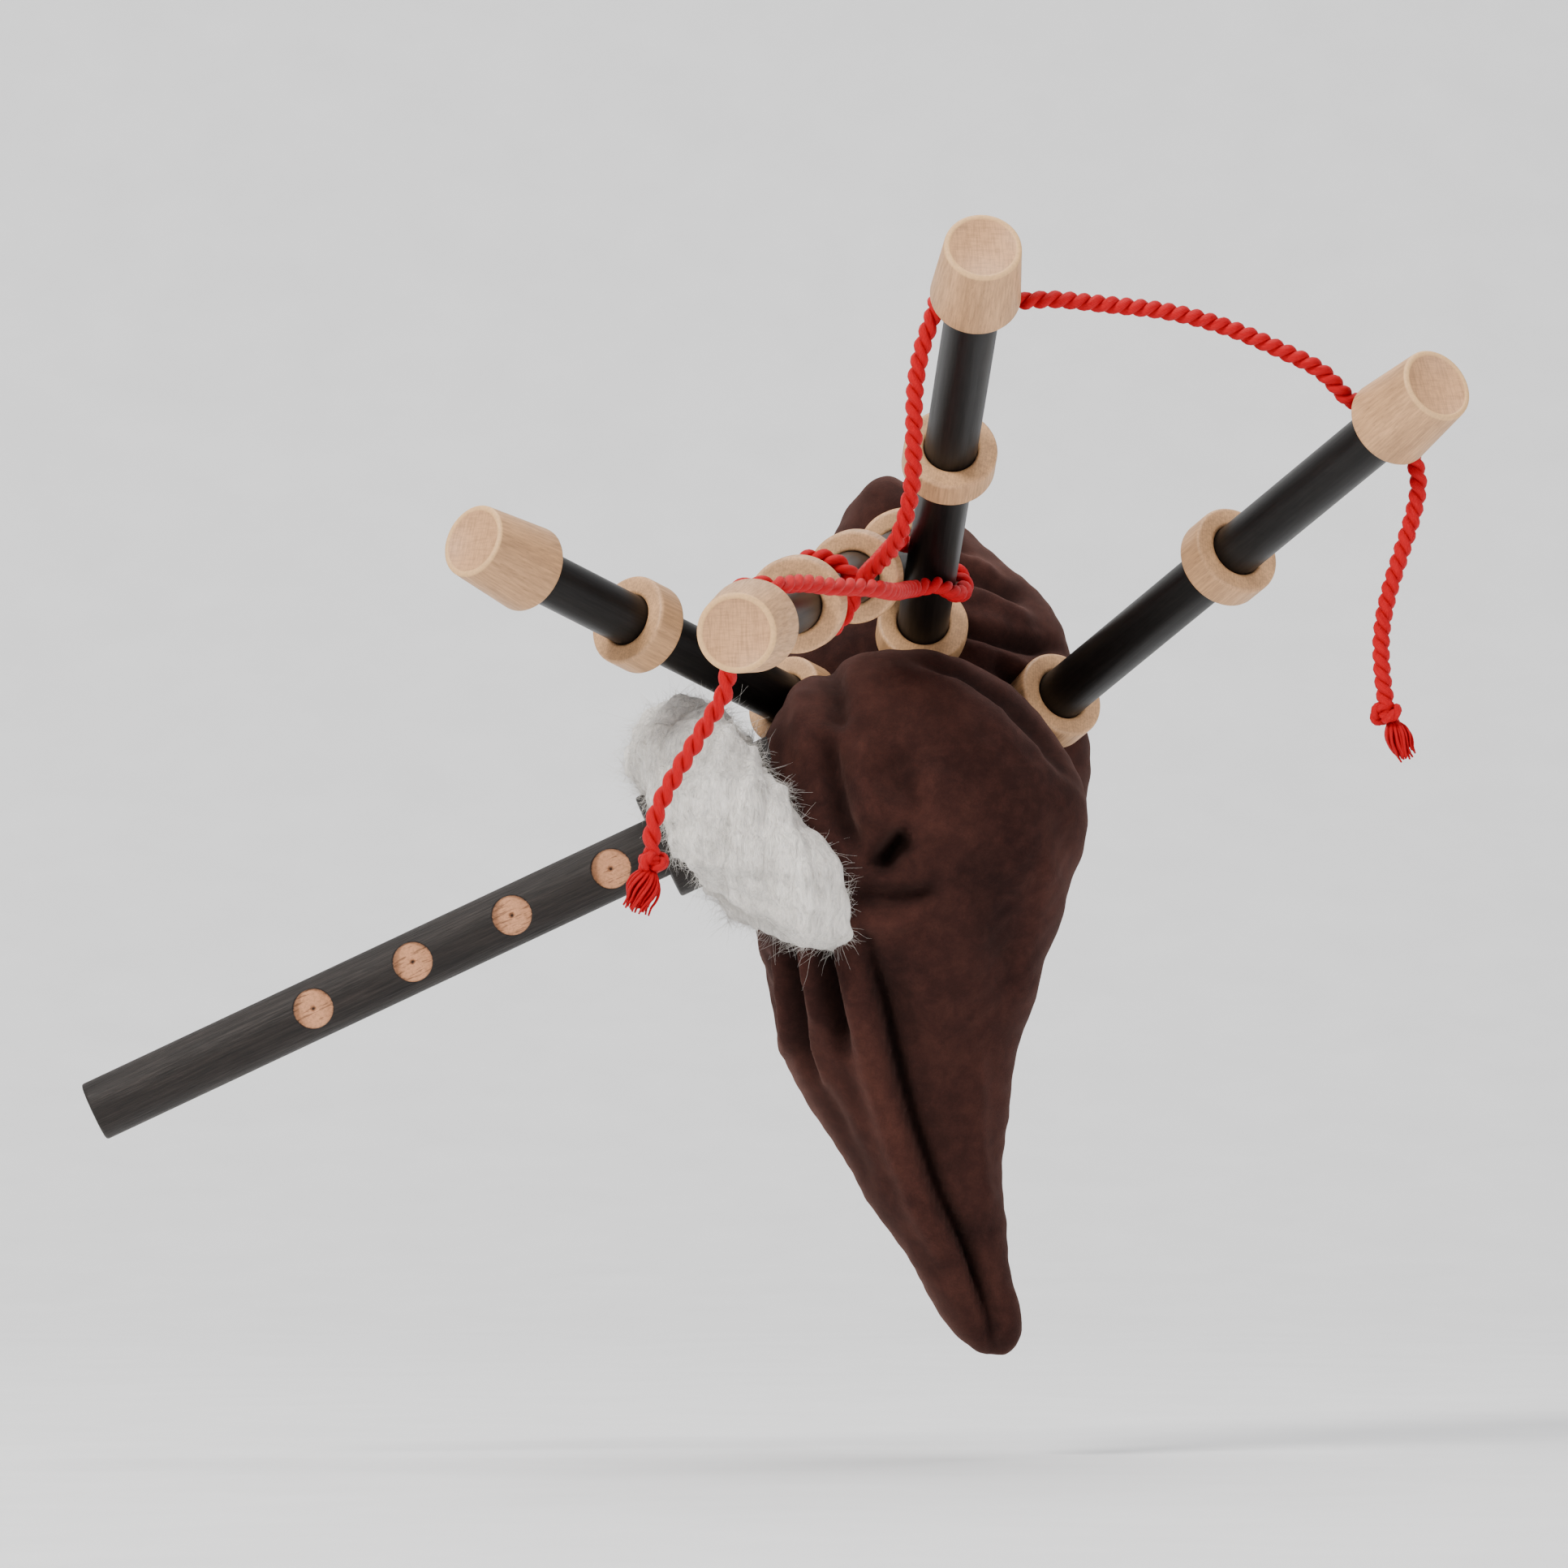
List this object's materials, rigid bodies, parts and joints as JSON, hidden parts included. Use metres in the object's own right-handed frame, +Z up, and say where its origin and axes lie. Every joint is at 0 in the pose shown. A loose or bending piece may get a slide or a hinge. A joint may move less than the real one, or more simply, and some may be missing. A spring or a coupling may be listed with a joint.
{
  "type": "bagpipes",
  "caption": "Miniature ornamental bagpipes: a soft bag with turned wooden drones, blowpipe and chanter that plug into sockets, a fluffy neck collar and a twisted drone cord.",
  "frame": {"origin": "the held point, on the chanter's axis in the middle of the length that a hand closes round", "axes": "+X runs to the viewer's right, from the chanter's free end towards the bag; +Y runs away from the viewer; +Z is up as the instrument is held"},
  "size_m": [0.1544, 0.1317, 0.1256],
  "materials": {
    "beech": "turned and left natural, matt",
    "black_stain": "black stained dowel, satin",
    "dark_stain": "dark brown-black stained dowel, open grain",
    "velvet": "short-pile brushed velvet",
    "wool": "fluffy long fibre",
    "cord": "two-ply twisted red cord"
  },
  "bodies": {
    "bag_group": {"bag": "velvet", "wool_collar": "wool", "chanter_stock": "dark_stain", "tenor_1_stock": "dark_stain", "tenor_2_stock": "dark_stain", "bass_stock": "dark_stain", "blowpipe_stock": "dark_stain", "tenor_1_stock_ring": "beech", "tenor_2_stock_ring": "beech", "bass_stock_ring": "beech", "blowpipe_stock_ring": "beech", "cord": "cord", "cord_bass_knot": "cord", "cord_tenor_knot": "cord"},
    "chanter": {"chanter": "dark_stain"},
    "tenor_1_lower": {"tenor_1_lower_tube": "black_stain", "tenor_1_lower_ring": "beech"},
    "tenor_1_upper": {"tenor_1_upper_tube": "black_stain", "tenor_1_cap": "beech"},
    "tenor_2_lower": {"tenor_2_lower_tube": "black_stain", "tenor_2_lower_ring": "beech"},
    "tenor_2_upper": {"tenor_2_upper_tube": "black_stain", "tenor_2_cap": "beech"},
    "bass_lower": {"bass_lower_tube": "black_stain", "bass_lower_ring": "beech"},
    "bass_middle": {"bass_middle_tube": "black_stain", "bass_middle_ring": "beech"},
    "bass_upper": {"bass_upper_tube": "black_stain", "bass_cap": "beech"},
    "blowpipe_lower": {"blowpipe_lower_tube": "black_stain", "blowpipe_lower_ring": "beech"},
    "blowpipe_upper": {"blowpipe_upper_tube": "black_stain", "blowpipe_mouthpiece": "beech"}
  },
  "joints": [
    {"name": "chanter_turn", "type": "hinge", "parent": "bag_group", "child": "chanter", "pos_m": [0.05366, 0, 0.02525], "axis": [0.9048, 0, 0.4258], "continuous": true},
    {"name": "tenor_1_turn", "type": "hinge", "parent": "bag_group", "child": "tenor_1_lower", "pos_m": [0.08091, 0.0056, 0.04999], "axis": [0.0465, -0.8846, 0.4641], "continuous": true},
    {"name": "tenor_1_upper_slide", "type": "slide", "parent": "tenor_1_lower", "child": "tenor_1_upper", "axis": [0.0465, -0.8846, 0.4641], "range_m": [0, 0.005]},
    {"name": "tenor_2_turn", "type": "hinge", "parent": "bag_group", "child": "tenor_2_lower", "pos_m": [0.09731, 0.0086, 0.04169], "axis": [0.4639, -0.7979, 0.3849], "continuous": true},
    {"name": "tenor_2_upper_slide", "type": "slide", "parent": "tenor_2_lower", "child": "tenor_2_upper", "axis": [0.4639, -0.7979, 0.3849], "range_m": [0, 0.005]},
    {"name": "bass_turn", "type": "hinge", "parent": "bag_group", "child": "bass_lower", "pos_m": [0.07881, 0.0167, 0.05849], "axis": [-0.1926, -0.972, -0.1344], "continuous": true},
    {"name": "bass_middle_slide", "type": "slide", "parent": "bass_lower", "child": "bass_middle", "axis": [-0.1926, -0.972, -0.1344], "range_m": [0, 0.004]},
    {"name": "bass_upper_slide", "type": "slide", "parent": "bass_middle", "child": "bass_upper", "axis": [-0.1926, -0.972, -0.1344], "range_m": [0, 0.004]},
    {"name": "blowpipe_turn", "type": "hinge", "parent": "bag_group", "child": "blowpipe_lower", "pos_m": [0.06461, 0.0078, 0.04109], "axis": [-0.6471, -0.7051, 0.29], "continuous": true},
    {"name": "blowpipe_upper_slide", "type": "slide", "parent": "blowpipe_lower", "child": "blowpipe_upper", "axis": [-0.6471, -0.7051, 0.29], "range_m": [0, 0.003]}
  ]
}
